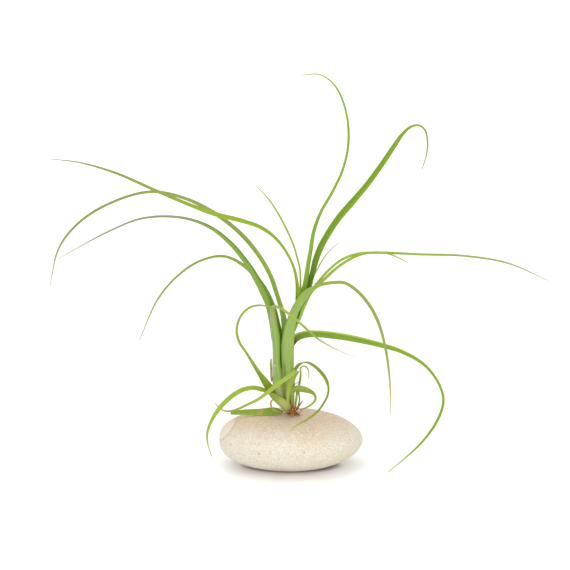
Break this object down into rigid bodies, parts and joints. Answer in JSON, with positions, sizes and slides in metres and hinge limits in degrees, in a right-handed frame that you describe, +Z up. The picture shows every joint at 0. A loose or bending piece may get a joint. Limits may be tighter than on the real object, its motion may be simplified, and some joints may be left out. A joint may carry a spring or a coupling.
{
  "type": "air plant on a pebble",
  "caption": "Air plant with long thin arching channelled leaves on two slender shoots, rooted on a smooth rounded pebble.",
  "frame": {"origin": "middle of the flat foot under the pebble, at floor level", "axes": "+Z up, +X along the pebble towards its right end as the front is seen, -Y towards the front"},
  "size_m": [0.2792, 0.1404, 0.2244],
  "materials": {
    "stone": "matte",
    "root": "matte",
    "leaf": "satin",
    "leaf_sheath": "satin",
    "dry_leaf": "matte"
  },
  "bodies": {
    "root": {"pebble": "stone", "stem_and_roots": "root", "right_leaf_front": "leaf_sheath", "left_leaf_front": "leaf_sheath", "base_leaf_across": "leaf", "base_leaf_left_arch": "leaf", "base_leaf_curled": "leaf", "right_leaf_hooked": "leaf", "right_leaf_far_left": "leaf", "right_leaf_tall": "leaf", "right_leaf_long_right": "leaf", "left_leaf_broad_arch": "leaf", "left_leaf_low_arch": "leaf_sheath", "right_leaf_high_arch": "leaf_sheath", "right_leaf_drooping": "leaf", "right_leaf_back_right": "leaf", "right_leaf_thin_back": "leaf", "right_leaf_short_back": "leaf", "base_leaf_left_loop": "leaf", "base_leaf_cut": "leaf", "base_leaf_hoop": "leaf", "base_leaf_small_hook": "leaf", "base_leaf_stub": "leaf", "base_strand": "dry_leaf", "dry_leaf_edge": "dry_leaf"}
  },
  "joints": []
}
